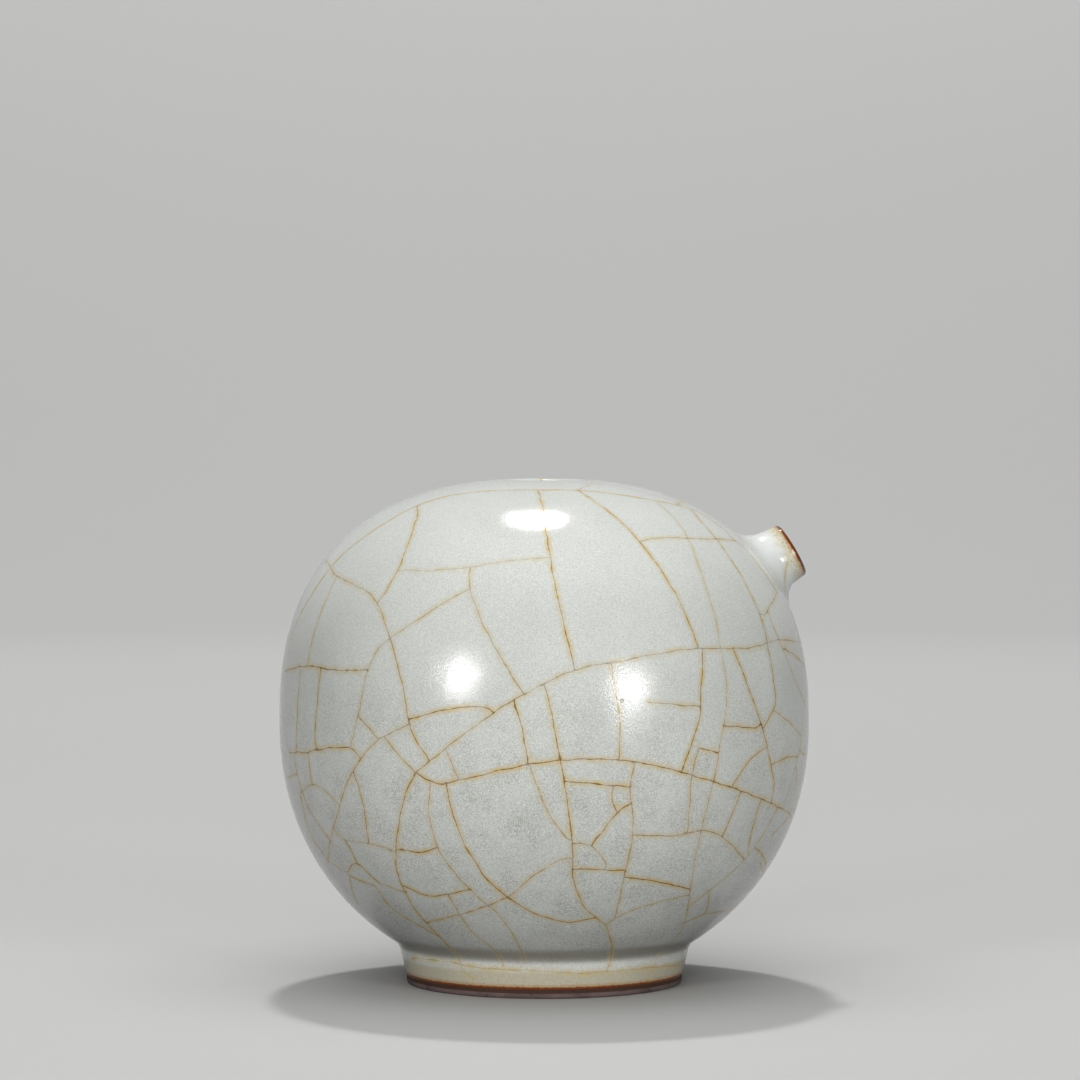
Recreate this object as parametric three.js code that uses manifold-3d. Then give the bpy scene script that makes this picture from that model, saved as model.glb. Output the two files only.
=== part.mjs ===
// A scholar's water dropper in crackle-glazed stoneware: a round pot with a filling mouth on top,
// a short pouring spout on the shoulder and a turned foot ring. The clay is built from luted pieces,
// and glaze skins cover it outside, inside and under the foot.
// Millimetres, +Z up, origin at the centre of the foot's resting face. The spout is on the +X side.

import * as THREE from 'three';
import { mergeVertices } from 'three/addons/utils/BufferGeometryUtils.js';
import Module from 'manifold-3d';

const wasm = await Module();
wasm.setup();

// Body, measured over the glaze
const BELLY_RADIUS = 50; // widest radius
const BELLY_HEIGHT = 49.3; // height of the widest circle
const CROWN_RISE = 46.1; // from the widest circle up to the crown
const CROWN_POWER = 2.48; // fullness of the shoulder: 2 is an ellipse
const BOWL_CLOSE_HEIGHT = 0.4; // height at which the bowl's curve would close, under its flat base
const BOWL_POWER = 2.11; // fullness below the widest circle
const MOUTH_RADIUS = 7; // bore of the filling mouth
const MOUTH_LIP_RADIUS = 1.6; // rounding from the crown into the mouth

// Foot
const FOOT_RADIUS = 26.2; // over the glaze, at the line where the glaze stops
const FOOT_FLARE = 1; // how much wider the foot is where it meets the bowl
const FOOT_COVE = 2.6; // hollow curve between the foot and the bowl
const FOOT_COVE_TURN = 60; // degrees that the hollow curve turns through
const FOOT_RING_WIDTH = 4.2; // width of the foot ring at its resting face
const FOOT_CHAMFER = 0.5; // bevel at both edges of the resting face
const GLAZE_LINE = 1.3; // height at which the outer glaze stops
const BASE_HEIGHT = 5.6; // underside of the bowl's clay, inside the ring

// Walls
const WALL = 3.6; // clay wall of the body
const GLAZE = 1.2; // outer glaze
const FOOT_GLAZE = 0.7; // glaze on the foot's wall
const SPOUT_GLAZE = 0.6; // glaze on the spout
const LINING = 0.5; // glaze inside the body
const BASE_GLAZE = 0.6; // glaze under the base
const SEAT = 0.3; // clearance between a piece and what it seats on
const LUTE_BELOW_BELLY = 1.3; // from the widest circle down to the joint of the body's two halves

// Spout
const SPOUT_RISE = 30; // degrees above the horizontal
const SPOUT_TURN = 6; // degrees from +X towards +Y
const SPOUT_SHARE = 0.6416; // share of the crown's rise at which the spout leaves the shoulder
const SPOUT_LENGTH = 5.6; // from the shoulder to the tip, along the spout
const SPOUT_TIP_RADIUS = 5.45; // at the lip, over the glaze
const SPOUT_SWELL = 0.1; // how much the spout widens just behind its lip
const SPOUT_SWELL_LENGTH = 1.2; // length over which it widens so
const SPOUT_NECK_RADIUS = 5.65; // where the root begins to spread
const SPOUT_NECK_LENGTH = 2.7; // from the lip to where the root begins to spread
const SPOUT_BORE_RADIUS = 2.5;
const SPOUT_ROOT_SPREAD = 4.6; // radius of the hollow curve where the spout leaves the shoulder
const SPOUT_ROOT_TURN = 70; // degrees that the hollow curve turns through
const SPOUT_LIP_RADIUS = 0.6; // rounding of the lip
const SPOUT_DEPTH = 14; // how far the spout's own form reaches back past its tip

// Facets
const ROUND_SIDES = 48;
const SPOUT_SIDES = 24;
const CROWN_STEPS = 10;
const BOWL_STEPS = 8;
const CURVE_STEPS = 3;

const CROWN_HEIGHT = BELLY_HEIGHT + CROWN_RISE;
const BOWL_DROP = BELLY_HEIGHT - BOWL_CLOSE_HEIGHT;
const LUTE_HEIGHT = BELLY_HEIGHT - LUTE_BELOW_BELLY;
const ABOVE = CROWN_HEIGHT + WALL;
const CLAY_INSET = GLAZE + SEAT;
const SPOUT_CLAY_INSET = SPOUT_GLAZE + SEAT;
const SPOUT_CLAY_BORE = SPOUT_BORE_RADIUS + LINING + SEAT;
const CAVITY_INSET = CLAY_INSET + WALL;
const CAVITY_FLOOR = BASE_HEIGHT + WALL;
const LINING_INSET = CAVITY_INSET + SEAT;
const LINING_FLOOR = CAVITY_FLOOR + SEAT;

const CLAY_COLOUR = 0x6b5650;
const GLAZE_COLOUR = 0xcdd1cb;

const degrees = THREE.MathUtils.degToRad;

// A closed solid turned from [radius, height] points, listed from its bottom to its top.
function turned(outline, sides) {
  const points = outline.map(([radius, height]) => new THREE.Vector2(radius, height));
  return new THREE.LatheGeometry(points, sides).rotateX(Math.PI / 2);
}

// The solid that a closed geometry encloses, ready to be cut and joined.
function solidOf(geometry) {
  const plain = geometry.clone();
  plain.deleteAttribute('normal');
  plain.deleteAttribute('uv');
  const merged = mergeVertices(plain, 1e-4);
  const corners = merged.index.array;
  const kept = [];
  for (let i = 0; i < corners.length; i += 3) {
    const [a, b, c] = corners.slice(i, i + 3);
    if (a !== b && b !== c && c !== a) kept.push(a, b, c);
  }
  return new wasm.Manifold(new wasm.Mesh({
    numProp: 3,
    vertProperties: new Float32Array(merged.attributes.position.array),
    triVerts: new Uint32Array(kept),
  }));
}

function geometryOf(solid) {
  const mesh = solid.getMesh();
  const geometry = new THREE.BufferGeometry();
  geometry.setAttribute('position', new THREE.Float32BufferAttribute(mesh.vertProperties, 3));
  geometry.setIndex(new THREE.BufferAttribute(new Uint32Array(mesh.triVerts), 1));
  return geometry;
}

const turnedSolid = (outline) => solidOf(turned(outline, ROUND_SIDES));

// A plain round plug between two heights.
function plug(radius, from, to) {
  return turnedSolid([[0, from], [radius, from], [radius, to], [0, to]]);
}

// Points of an arc from one angle to another, both ends included.
function arc([centreRadius, centreHeight], radius, fromDegrees, toDegrees) {
  return Array.from({ length: CURVE_STEPS + 1 }, (_, i) => {
    const angle = degrees(fromDegrees + ((toDegrees - fromDegrees) * i) / CURVE_STEPS);
    return [centreRadius + radius * Math.cos(angle), centreHeight + radius * Math.sin(angle)];
  });
}

// Share of its widest radius that the body has at a share of the way to where it closes.
const fullness = (share, power) => (1 - share ** power) ** (1 / power);

// The body's outline, drawn in by an inset and cut flat at a floor height.
function bodyForm(inset, floor) {
  const widest = BELLY_RADIUS - inset;
  const drop = BOWL_DROP - inset;
  const rise = CROWN_RISE - inset;
  const lowest = (BELLY_HEIGHT - floor) / drop;
  const outline = [[0, floor]];
  for (let i = 0; i < BOWL_STEPS; i += 1) {
    const share = lowest * Math.cos((i / BOWL_STEPS) * (Math.PI / 2));
    outline.push([widest * fullness(share, BOWL_POWER), BELLY_HEIGHT - drop * share]);
  }
  for (let i = 0; i <= CROWN_STEPS; i += 1) {
    const share = Math.sin((i / CROWN_STEPS) * (Math.PI / 2));
    outline.push([widest * fullness(share, CROWN_POWER), BELLY_HEIGHT + rise * share]);
  }
  return turnedSolid(outline);
}

// The mouth's cutter: a bore that opens out into the crown with a rounded lip.
function mouthCutter(growth) {
  const bore = MOUTH_RADIUS + growth;
  const opened = bore + MOUTH_LIP_RADIUS;
  const lipTop = CROWN_HEIGHT + SEAT;
  const lip = arc([opened, lipTop - MOUTH_LIP_RADIUS], MOUTH_LIP_RADIUS, 180, 90);
  return turnedSolid([
    [0, BELLY_HEIGHT],
    [bore, BELLY_HEIGHT],
    ...lip,
    [opened, ABOVE],
    [0, ABOVE],
  ]);
}

// The foot's outer form: a wall that widens upwards and runs by a cove into the bowl, where it ends.
const coveCentre = FOOT_RADIUS + FOOT_FLARE + FOOT_COVE;
const coveEnd = coveCentre - FOOT_COVE * Math.cos(degrees(FOOT_COVE_TURN));
const coveTop = BELLY_HEIGHT - BOWL_DROP * fullness(coveEnd / BELLY_RADIUS, BOWL_POWER);
const footHeight = coveTop - FOOT_COVE * Math.sin(degrees(FOOT_COVE_TURN));

function footForm(inset, from) {
  const cove = arc([coveCentre - inset, footHeight], FOOT_COVE, 180, 180 - FOOT_COVE_TURN);
  return turnedSolid([[0, from], [FOOT_RADIUS - inset, from], ...cove, [0, coveTop]]);
}

// The spout's tip stands off the shoulder, and its own axis runs through the tip's centre.
const shoulderRadius = BELLY_RADIUS * fullness(SPOUT_SHARE, CROWN_POWER);
const shoulderHeight = BELLY_HEIGHT + CROWN_RISE * SPOUT_SHARE;
const tipReach = shoulderRadius + SPOUT_LENGTH * Math.cos(degrees(SPOUT_RISE));
const tipHeight = shoulderHeight + SPOUT_LENGTH * Math.sin(degrees(SPOUT_RISE));
const spoutPlace = new THREE.Matrix4()
  .makeRotationZ(degrees(SPOUT_TURN))
  .multiply(new THREE.Matrix4().makeTranslation(tipReach, 0, tipHeight))
  .multiply(new THREE.Matrix4().makeRotationY(degrees(90 - SPOUT_RISE)));

const placedSpout = (outline) => solidOf(turned(outline, SPOUT_SIDES).applyMatrix4(spoutPlace));

// The spout's outer form, drawn in by an inset. Heights run along the spout, and its tip is at 0.
function spoutForm(inset, lip) {
  const tip = SPOUT_TIP_RADIUS - inset;
  const rootCentre = [SPOUT_NECK_RADIUS + SPOUT_ROOT_SPREAD, -SPOUT_NECK_LENGTH];
  const root = arc(rootCentre, SPOUT_ROOT_SPREAD + inset, 180 + SPOUT_ROOT_TURN, 180);
  const [rootRadius] = root[0];
  return placedSpout([
    [0, -SPOUT_DEPTH],
    [rootRadius, -SPOUT_DEPTH],
    ...root,
    [tip + SPOUT_SWELL, -SPOUT_SWELL_LENGTH - inset],
    ...arc([tip - lip, -inset - lip], lip, 0, 90),
    [0, -inset],
  ]);
}

// A straight round plug along the spout, from well inside the body to a height at the tip.
function spoutPlug(radius, to) {
  const from = -2 * SPOUT_DEPTH;
  return placedSpout([[0, from], [radius, from], [radius, to], [0, to]]);
}

const spoutBore = spoutPlug(SPOUT_BORE_RADIUS, SEAT);
const spoutClayBore = spoutPlug(SPOUT_CLAY_BORE, SEAT);

const clayForm = bodyForm(CLAY_INSET, BASE_HEIGHT);
const clayWithSeat = bodyForm(GLAZE, BASE_HEIGHT - SEAT);
const cavity = bodyForm(CAVITY_INSET, CAVITY_FLOOR);
const clayShell = clayForm.subtract(cavity);

// The body's clay is thrown as a bowl and a dome, and luted at the belly.
function lowerBowl() {
  return clayShell.intersect(plug(BELLY_RADIUS, 0, LUTE_HEIGHT));
}

function upperDome() {
  return clayShell
    .intersect(plug(BELLY_RADIUS, LUTE_HEIGHT, ABOVE))
    .subtract(mouthCutter(CLAY_INSET))
    .subtract(spoutClayBore);
}

// The foot ring stands under the bowl. It is wider below the glaze line, so the glaze ends on a ledge.
function footRing() {
  const inner = FOOT_RADIUS - FOOT_RING_WIDTH;
  const ledge = FOOT_RADIUS - SEAT / 2;
  const wall = FOOT_RADIUS - FOOT_GLAZE - SEAT;
  const ring = turnedSolid([
    [inner + FOOT_CHAMFER, 0],
    [ledge - FOOT_CHAMFER, 0],
    [ledge, FOOT_CHAMFER],
    [ledge, GLAZE_LINE - SEAT],
    [wall, GLAZE_LINE - SEAT],
    [wall + FOOT_FLARE, coveTop],
    [inner, coveTop],
    [inner, FOOT_CHAMFER],
    [inner + FOOT_CHAMFER, 0],
  ]);
  return ring.subtract(clayWithSeat);
}

// The spout's clay is a short tube, pressed onto the dome over a pierced hole.
function spoutTube() {
  return spoutForm(SPOUT_CLAY_INSET, SPOUT_LIP_RADIUS / 2)
    .subtract(clayWithSeat)
    .subtract(spoutClayBore);
}

// One skin of glaze runs over the body and the foot's wall, down the mouth, over the spout's lip
// and through its bore.
function outerGlaze() {
  const body = bodyForm(0, BASE_HEIGHT);
  const outside = body
    .add(spoutForm(0, SPOUT_LIP_RADIUS))
    .add(footForm(0, GLAZE_LINE));
  const inside = bodyForm(GLAZE, BASE_HEIGHT)
    .add(spoutForm(SPOUT_GLAZE, 0))
    .add(footForm(FOOT_GLAZE, 0));
  const liningTop = CROWN_HEIGHT - LINING_INSET;
  const mouthWall = body.intersect(plug(MOUTH_RADIUS + GLAZE, liningTop + SEAT, ABOVE));
  const boreWall = spoutPlug(SPOUT_BORE_RADIUS + LINING, -SPOUT_GLAZE / 2);
  return outside
    .subtract(inside)
    .add(mouthWall)
    .add(boreWall.subtract(cavity))
    .subtract(mouthCutter(0))
    .subtract(spoutBore);
}

// Thin glaze inside the body.
function innerGlaze() {
  return bodyForm(LINING_INSET, LINING_FLOOR)
    .subtract(bodyForm(LINING_INSET + LINING, LINING_FLOOR + LINING))
    .subtract(mouthCutter(0))
    .subtract(spoutBore);
}

// Glaze pooled under the base, inside the ring.
function baseGlaze() {
  const radius = FOOT_RADIUS - FOOT_RING_WIDTH - SEAT;
  const top = BASE_HEIGHT - SEAT;
  return plug(radius, top - BASE_GLAZE, top);
}

const clay = new THREE.MeshStandardMaterial({ color: CLAY_COLOUR, roughness: 0.85, metalness: 0 });
const glaze = new THREE.MeshStandardMaterial({ color: GLAZE_COLOUR, roughness: 0.18, metalness: 0 });

const waterDropper = new THREE.Group();
const pieces = {
  lower_bowl: [lowerBowl(), clay],
  upper_dome: [upperDome(), clay],
  foot_ring: [footRing(), clay],
  spout_tube: [spoutTube(), clay],
  outer_glaze: [outerGlaze(), glaze],
  inner_glaze: [innerGlaze(), glaze],
  base_glaze: [baseGlaze(), glaze],
};

for (const [name, [solid, material]] of Object.entries(pieces)) {
  const mesh = new THREE.Mesh(geometryOf(solid), material);
  mesh.name = name;
  waterDropper.add(mesh);
}

export default waterDropper;
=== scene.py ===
"""A round water dropper in crackle-glazed stoneware, dressed over its turned pieces.

The glaze is one closed skin over the body, the foot's wall, the mouth and the spout. Its mesh follows
the crackle: every crack is a line of edges, and each point knows how far the nearest crack lies.
Sizes are in millimetres until a mesh is made.
"""
import math
import random

import bmesh
import bpy
import numpy as np
from mathutils import Matrix, Vector, geometry, kdtree, noise
from mathutils.bvhtree import BVHTree


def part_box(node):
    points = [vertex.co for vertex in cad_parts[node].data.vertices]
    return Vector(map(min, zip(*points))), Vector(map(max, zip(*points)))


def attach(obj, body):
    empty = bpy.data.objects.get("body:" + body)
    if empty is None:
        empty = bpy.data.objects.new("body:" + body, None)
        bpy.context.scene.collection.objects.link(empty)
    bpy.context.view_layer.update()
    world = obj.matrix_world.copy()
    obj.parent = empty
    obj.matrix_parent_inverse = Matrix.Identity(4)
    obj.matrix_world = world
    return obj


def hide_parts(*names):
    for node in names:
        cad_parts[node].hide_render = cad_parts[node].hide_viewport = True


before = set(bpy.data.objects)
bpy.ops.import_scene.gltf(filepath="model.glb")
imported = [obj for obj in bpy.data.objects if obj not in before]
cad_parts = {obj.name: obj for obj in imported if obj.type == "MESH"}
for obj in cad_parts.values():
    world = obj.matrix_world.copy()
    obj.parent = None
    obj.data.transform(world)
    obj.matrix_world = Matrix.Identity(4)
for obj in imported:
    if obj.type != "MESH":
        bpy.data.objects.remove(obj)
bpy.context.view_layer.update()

MM = 0.001

# Sizes of the pot, as its solids have them
BELLY_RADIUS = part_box("outer_glaze")[1].x / MM
POT_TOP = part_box("outer_glaze")[1].z / MM
BELLY_HEIGHT = 49.3
CROWN_RISE = 46.1
CROWN_POWER = 2.48
BOWL_CLOSE_HEIGHT = 0.4
BOWL_POWER = 2.11
MOUTH_RADIUS = 7.0
MOUTH_LIP_RADIUS = 1.6
MOUTH_DEPTH = 5.0
FOOT_RADIUS = 26.2
FOOT_FLARE = 1.0
FOOT_COVE = 2.6
FOOT_COVE_TURN = 60.0
GLAZE_LINE = 1.3
GLAZE_ROLL = 0.35
GLAZE = 1.1
EDGE_GLAZE = 0.6
SPOUT_RISE = math.radians(30)
SPOUT_TURN = math.radians(6)
SPOUT_SHARE = 0.6416
SPOUT_LENGTH = 5.6
SPOUT_NECK_RADIUS = 5.65
SPOUT_NECK_LENGTH = 2.7
SPOUT_TIP_RADIUS = 5.45
SPOUT_BORE_RADIUS = 2.5
SPOUT_BORE_LENGTH = 5.0
SPOUT_LIP_ROUND = 0.65
SPOUT_SWELL = (0.08, 1.4)  # how much wider the tip is than its lip, and how far below the lip

# The press round the spout, which only this skin has
SHOULDER_SAG = 0.5  # how deep the shoulder is pressed in
SAG_REACH = 26.0  # how far that reaches
SAG_ABOVE = 6.0  # its middle lies this far above the spout's root

# Camera, as the photograph was taken: millimetres, degrees, and pixels of its 1080
CAMERA_BACK = 900.0
CAMERA_HEIGHT = 116.8
CAMERA_DOWN = 2.114
CAMERA_ASIDE = -0.83
FOCAL_PIXELS = 4771.0
FRAME_PIXELS = 1080.0
SENSOR = 36.0
CLIP_NEAR, CLIP_FAR = 0.05, 20.0  # in metres


def make_camera():
    data = bpy.data.cameras.new("camera")
    data.sensor_width = SENSOR
    data.lens = FOCAL_PIXELS * SENSOR / FRAME_PIXELS
    data.clip_start, data.clip_end = CLIP_NEAR, CLIP_FAR
    camera = bpy.data.objects.new("camera", data)
    camera.location = Vector((CAMERA_ASIDE, -CAMERA_BACK, CAMERA_HEIGHT)) * MM
    camera.rotation_euler = (math.radians(90 - CAMERA_DOWN), 0, 0)
    bpy.context.scene.collection.objects.link(camera)
    bpy.context.scene.camera = camera


def sight_line(pixel):
    """From the camera through a pixel of the photograph: a start and a direction, in millimetres."""
    down = math.radians(CAMERA_DOWN)
    ahead = np.array((0, math.cos(down), -math.sin(down)))
    up = np.array((0, math.sin(down), math.cos(down)))
    right = np.array((1.0, 0, 0))
    across = (pixel[0] - FRAME_PIXELS / 2) / FOCAL_PIXELS
    rise = (FRAME_PIXELS / 2 - pixel[1]) / FOCAL_PIXELS
    direction = ahead + across * right + rise * up
    return Vector((CAMERA_ASIDE, -CAMERA_BACK, CAMERA_HEIGHT)), Vector(direction).normalized()


# The pot's outline and its map
#
# The skin is unrolled onto a plane: u is the angle round the pot, v climbs so that shapes keep
# their angles, and a disc of that plane round the spout's root is wrapped up and over the spout.

ARC_POINTS = 24
CURVE_POINTS = 900  # on the bowl and on the crown, before the outline is made even
OUTLINE_STEP = 0.1
SPOUT_LINE_STEP = 0.05


def fullness(share, power):
    return (1 - share**power) ** (1 / power)


def bend(centre, radius, start, end):
    """Points of an arc, with its angles in degrees."""
    angles = np.radians(np.linspace(start, end, ARC_POINTS))
    return np.stack((centre[0] + radius * np.cos(angles), centre[1] + radius * np.sin(angles)), 1)


def run_lengths(points):
    """How far along a line each of its points lies."""
    return np.concatenate(([0], np.cumsum(np.linalg.norm(np.diff(points, axis=0), axis=1))))


def even(points, step):
    """The same line with points at an even distance."""
    along = run_lengths(points)
    keep = np.concatenate(([True], np.diff(along) > 1e-9))
    count = max(2, int(round(along[-1] / step)) + 1)
    at = np.linspace(0, along[-1], count)
    columns = [np.interp(at, along[keep], points[keep, i]) for i in range(points.shape[1])]
    return np.stack(columns, 1)


def pot_outline():
    """Radius and height from the glaze's lower edge up to the foot of the mouth's wall."""
    drop = BELLY_HEIGHT - BOWL_CLOSE_HEIGHT
    turn = math.radians(FOOT_COVE_TURN)
    cove_centre = FOOT_RADIUS + FOOT_FLARE + FOOT_COVE
    cove_end = cove_centre - FOOT_COVE * math.cos(turn)
    cove_top = BELLY_HEIGHT - drop * fullness(cove_end / BELLY_RADIUS, BOWL_POWER)
    foot_height = cove_top - FOOT_COVE * math.sin(turn)
    roll_centre = (FOOT_RADIUS - GLAZE_ROLL, GLAZE_LINE + GLAZE_ROLL)
    edge = [(FOOT_RADIUS - EDGE_GLAZE, GLAZE_LINE)]
    roll = bend(roll_centre, GLAZE_ROLL, -90, 0)
    cove = bend((cove_centre, foot_height), FOOT_COVE, 180, 180 - FOOT_COVE_TURN)
    quarter = np.linspace(0, 1, CURVE_POINTS)
    bowl_radius = cove_end + (BELLY_RADIUS - cove_end) * np.sin(quarter * math.pi / 2)
    bowl = np.stack((bowl_radius, BELLY_HEIGHT - drop * fullness(bowl_radius / BELLY_RADIUS, BOWL_POWER)), 1)
    lip_radius = MOUTH_RADIUS + MOUTH_LIP_RADIUS
    share = np.sin(quarter * math.pi / 2) * fullness(lip_radius / BELLY_RADIUS, CROWN_POWER)
    crown = np.stack((BELLY_RADIUS * fullness(share, CROWN_POWER), BELLY_HEIGHT + CROWN_RISE * share), 1)
    lip_top = crown[-1][1]
    lip = bend((lip_radius, lip_top - MOUTH_LIP_RADIUS), MOUTH_LIP_RADIUS, 90, 180)
    wall = [(MOUTH_RADIUS, lip_top - MOUTH_DEPTH)]
    line = np.concatenate((edge, roll, cove, bowl, crown, lip, wall))
    rise = (POT_TOP - BELLY_HEIGHT) / (lip_top - BELLY_HEIGHT)
    height = line[:, 1]
    line[:, 1] = np.where(height > BELLY_HEIGHT, BELLY_HEIGHT + rise * (height - BELLY_HEIGHT), height)
    return even(line, OUTLINE_STEP)


OUTLINE = pot_outline()
OUTLINE_STEPS = np.linalg.norm(np.diff(OUTLINE, axis=0), axis=1)
OUTLINE_LENGTH = run_lengths(OUTLINE)
V = np.concatenate(([0], np.cumsum(OUTLINE_STEPS / ((OUTLINE[1:, 0] + OUTLINE[:-1, 0]) / 2))))
V_FOOT, V_MOUTH = V[0], V[-1]
TOP_POINT = int(np.argmax(OUTLINE[:, 1]))
TILT = np.unwrap(np.arctan2(np.gradient(OUTLINE[:, 1]), np.gradient(OUTLINE[:, 0])))


def radius_at(v):
    return np.interp(v, V, OUTLINE[:, 0])


def turned_point(u, v):
    radius = radius_at(v)
    return np.stack((radius * np.cos(u), radius * np.sin(u), np.interp(v, V, OUTLINE[:, 1])), -1)


def turned_normal(u, v):
    tilt = np.interp(v, V, TILT)
    return np.stack((np.sin(tilt) * np.cos(u), np.sin(tilt) * np.sin(u), -np.cos(tilt)), -1)


def sag(u, v):
    """How far the potter's thumbs pressed the shoulder in there, round the spout."""
    apart = turned_point(u, v) - SAG_MIDDLE
    return SHOULDER_SAG * np.exp(-(apart**2).sum(-1) / SAG_REACH**2)


def body_point(u, v):
    u, v = np.asarray(u, float), np.asarray(v, float)
    return turned_point(u, v) - sag(u, v)[..., None] * turned_normal(u, v)


def body_normal(u, v):
    apart = turned_point(u, v) - SAG_MIDDLE
    slope = -2 / SAG_REACH**2 * sag(u, v)[..., None] * apart
    normal = turned_normal(u, v)
    normal = normal + slope - (slope * normal).sum(-1, keepdims=True) * normal
    return normal / np.linalg.norm(normal, axis=-1, keepdims=True)


# The spout's axis, and two directions square to it: along the pot's circle, and upwards
SPOUT_AXIS = np.array((
    math.cos(SPOUT_RISE) * math.cos(SPOUT_TURN),
    math.cos(SPOUT_RISE) * math.sin(SPOUT_TURN),
    math.sin(SPOUT_RISE),
))
SPOUT_EAST = np.array((-math.sin(SPOUT_TURN), math.cos(SPOUT_TURN), 0))
SPOUT_NORTH = np.cross(SPOUT_AXIS, SPOUT_EAST)
ROOT_RADIUS = BELLY_RADIUS * fullness(SPOUT_SHARE, CROWN_POWER)
ROOT_HEIGHT = BELLY_HEIGHT + CROWN_RISE * SPOUT_SHARE
SPOUT_ROOT = np.array((ROOT_RADIUS * math.cos(SPOUT_TURN), ROOT_RADIUS * math.sin(SPOUT_TURN), ROOT_HEIGHT))
SPOUT_TIP = SPOUT_ROOT + SPOUT_LENGTH * SPOUT_AXIS
ROOT_U = SPOUT_TURN
ROOT_V = float(np.interp(ROOT_HEIGHT, OUTLINE[:TOP_POINT, 1], V[:TOP_POINT]))
SAG_MIDDLE = turned_point(ROOT_U, ROOT_V + SAG_ABOVE / ROOT_RADIUS)
DISC = 10.5  # radius of the disc round the spout's root that is wrapped over it
DISC_RIM = 0.2  # over this width of its rim the root's first direction is taken
ROOT_REACH = 2.7  # how strongly the root's curve follows the shoulder
NECK_REACH = 2.0  # and how strongly it follows the neck


def spout_outline():
    """Radius and height along the spout, from its neck over the lip and down its bore."""
    round_ = SPOUT_LIP_ROUND
    lip_centre = SPOUT_TIP_RADIUS - round_
    bore_centre = SPOUT_BORE_RADIUS + round_
    swell, below = SPOUT_SWELL
    neck = [(SPOUT_NECK_RADIUS, -SPOUT_NECK_LENGTH), (SPOUT_TIP_RADIUS + swell, -below)]
    lip = bend((lip_centre, -round_), round_, 8, 90)
    rim = bend((bore_centre, -round_), round_, 90, 180)
    bore = [(SPOUT_BORE_RADIUS, -SPOUT_BORE_LENGTH)]
    return even(np.concatenate((neck, lip, rim, bore)), SPOUT_LINE_STEP)


SPOUT_LINE = spout_outline()


def spout_ring(angle, radius, height):
    around = np.cos(angle)[..., None] * SPOUT_EAST + np.sin(angle)[..., None] * SPOUT_NORTH
    return SPOUT_TIP + radius[..., None] * around + height[..., None] * SPOUT_AXIS


def root_curve(angle, share):
    """From the shoulder, at share 0, by a hollow curve to the spout's neck, at share 1."""
    def edge(reach):
        u = ROOT_U + reach * np.cos(angle) / ROOT_RADIUS
        v = ROOT_V + reach * np.sin(angle) / ROOT_RADIUS
        return body_point(u, v)
    start = edge(DISC)
    inward = edge(DISC - DISC_RIM) - start
    inward /= np.linalg.norm(inward, axis=-1, keepdims=True)
    neck_radius = np.full_like(angle, SPOUT_NECK_RADIUS)
    neck = spout_ring(angle, neck_radius, np.full_like(angle, -SPOUT_NECK_LENGTH))
    t = share[..., None]
    first, last = start + ROOT_REACH * inward, neck - NECK_REACH * SPOUT_AXIS
    return (1 - t) ** 3 * start + 3 * (1 - t) ** 2 * t * first + 3 * (1 - t) * t**2 * last + t**3 * neck


def spout_depths():
    """How far in from the disc's edge each part of the spout lies, as the logarithm of a radius."""
    shares = np.linspace(0, 1, 200)
    line = root_curve(np.zeros_like(shares), shares) - SPOUT_TIP
    radius = np.linalg.norm(line - (line @ SPOUT_AXIS)[:, None] * SPOUT_AXIS, axis=1)
    step = np.linalg.norm(np.diff(line, axis=0), axis=1)
    root = np.concatenate(([0], np.cumsum(step * 2 / (radius[1:] + radius[:-1]))))
    step = np.linalg.norm(np.diff(SPOUT_LINE, axis=0), axis=1)
    spout = np.cumsum(step * 2 / (SPOUT_LINE[1:, 0] + SPOUT_LINE[:-1, 0]))
    return shares, root, np.concatenate(([root[-1]], root[-1] + spout))


ROOT_SHARES, ROOT_DEPTHS, SPOUT_DEPTHS = spout_depths()
DISC_DEEPEST = SPOUT_DEPTHS[-1]
DISC_HOLE = DISC * math.exp(-DISC_DEEPEST)


def disc_place(u, v):
    """Distance and angle of a point of the plane from the spout's root, in millimetres there."""
    east = (u - ROOT_U) * ROOT_RADIUS
    north = (v - ROOT_V) * ROOT_RADIUS
    return np.hypot(east, north), np.arctan2(north, east)


def skin_point(u, v):
    """The point of the glaze's surface that a point of the plane stands for."""
    u, v = np.asarray(u, float), np.asarray(v, float)
    place = body_point(u, v)
    reach, angle = disc_place(u, v)
    depth = np.log(DISC / np.maximum(reach, DISC_HOLE * 0.5))
    on_root = (depth > 0) & (depth <= ROOT_DEPTHS[-1])
    on_spout = depth > ROOT_DEPTHS[-1]
    if on_root.any():
        place[on_root] = root_curve(angle[on_root], np.interp(depth[on_root], ROOT_DEPTHS, ROOT_SHARES))
    if on_spout.any():
        radius = np.interp(depth[on_spout], SPOUT_DEPTHS, SPOUT_LINE[:, 0])
        height = np.interp(depth[on_spout], SPOUT_DEPTHS, SPOUT_LINE[:, 1])
        place[on_spout] = spout_ring(angle[on_spout], radius, height)
    return place


def on_skin(places):
    """The points of the surface for rows of u and v."""
    return skin_point(places[:, 0], places[:, 1])


def skin_normal(u, v):
    small = 2e-4
    east = skin_point(u + small, v) - skin_point(u - small, v)
    north = skin_point(u, v + small) - skin_point(u, v - small)
    normal = np.cross(east, north)
    normal /= np.maximum(np.linalg.norm(normal, axis=-1, keepdims=True), 1e-12)
    on_body = disc_place(u, v)[0] > DISC
    normal[on_body] = body_normal(u[on_body], v[on_body])
    return normal


def scale_at(u, v):
    """Millimetres of skin for one unit of the plane."""
    small = 1e-3
    east = skin_point(u + small, v) - skin_point(u - small, v)
    return np.linalg.norm(east, axis=-1) / (2 * small)


# Cracks on the side that the photograph shows, as pixels of it that lie along them

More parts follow.
